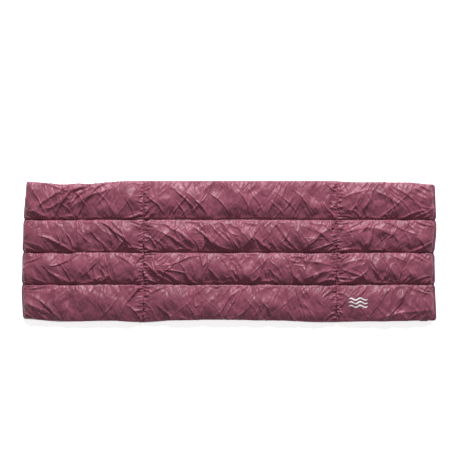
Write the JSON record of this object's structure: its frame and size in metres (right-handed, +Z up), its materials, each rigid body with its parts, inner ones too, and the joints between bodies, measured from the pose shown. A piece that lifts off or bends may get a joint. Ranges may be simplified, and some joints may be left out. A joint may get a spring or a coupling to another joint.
{
  "type": "infrared sauna blanket",
  "caption": "Soft quilted heated body wrap: lengthwise puffed channels over a flat carbon heating layer, end panels that fold over the middle, and a power inlet in one edge.",
  "frame": {"origin": "bottom centre: the point of the resting plane under the middle of the blanket", "axes": "+X along the length towards the shorter end panel with the heat mark, +Y across the channels away from the edge that holds the wiring, +Z up, out of the quilted face"},
  "size_m": [1.8, 0.6172, 0.0472],
  "materials": {
    "face_nylon": "satin",
    "lining_nylon": "satin",
    "fill_down": "matte",
    "backing_scrim": "matte",
    "foil": "gloss",
    "carbon_ribbon": "matte",
    "felt": "matte",
    "thermostat_case": "satin",
    "sensor_epoxy": "gloss",
    "wire_jacket": "matte",
    "inlet_plastic": "matte",
    "contact_brass": "polished",
    "thread": "matte",
    "mark_film": "satin"
  },
  "bodies": {
    "left": {"lining_left": "lining_nylon", "carrier_left": "felt", "thermostat_left": "thermostat_case", "heating_ribbon_left": "carbon_ribbon", "foil_left": "foil", "backing_left": "backing_scrim", "fill_left_1": "fill_down", "fill_left_2": "fill_down", "fill_left_3": "fill_down", "fill_left_4": "fill_down", "face_left": "face_nylon", "channel_stitch_left_1": "thread", "channel_stitch_left_2": "thread", "channel_stitch_left_3": "thread", "lead_left": "wire_jacket", "hem_stitch_left": "thread"},
    "centre": {"lining_centre": "lining_nylon", "carrier_centre": "felt", "thermostat_centre": "thermostat_case", "heating_ribbon_centre": "carbon_ribbon", "foil_centre": "foil", "backing_centre": "backing_scrim", "fill_centre_1": "fill_down", "fill_centre_2": "fill_down", "fill_centre_3": "fill_down", "fill_centre_4": "fill_down", "face_centre": "face_nylon", "channel_stitch_centre_1": "thread", "channel_stitch_centre_2": "thread", "channel_stitch_centre_3": "thread", "lead_centre": "wire_jacket", "temperature_sensor": "sensor_epoxy", "cross_stitch_left": "thread", "cross_stitch_right": "thread"},
    "right": {"lining_right": "lining_nylon", "carrier_right": "felt", "thermostat_right": "thermostat_case", "heating_ribbon_right": "carbon_ribbon", "foil_right": "foil", "backing_right": "backing_scrim", "fill_right_1": "fill_down", "fill_right_2": "fill_down", "fill_right_3": "fill_down", "fill_right_4": "fill_down", "face_right": "face_nylon", "channel_stitch_right_1": "thread", "channel_stitch_right_2": "thread", "channel_stitch_right_3": "thread", "lead_right": "wire_jacket", "hem_stitch_right": "thread", "inlet_housing": "inlet_plastic", "inlet_contacts": "contact_brass", "heat_mark": "mark_film"}
  },
  "joints": [
    {"name": "left_fold", "type": "hinge", "parent": "centre", "child": "left", "pos_m": [-0.371, 0, 0.048], "axis": [0, 1, 0], "range_deg": [0, 178]},
    {"name": "right_fold", "type": "hinge", "parent": "centre", "child": "right", "pos_m": [0.466, 0, 0.048], "axis": [0, -1, 0], "range_deg": [0, 165]}
  ]
}
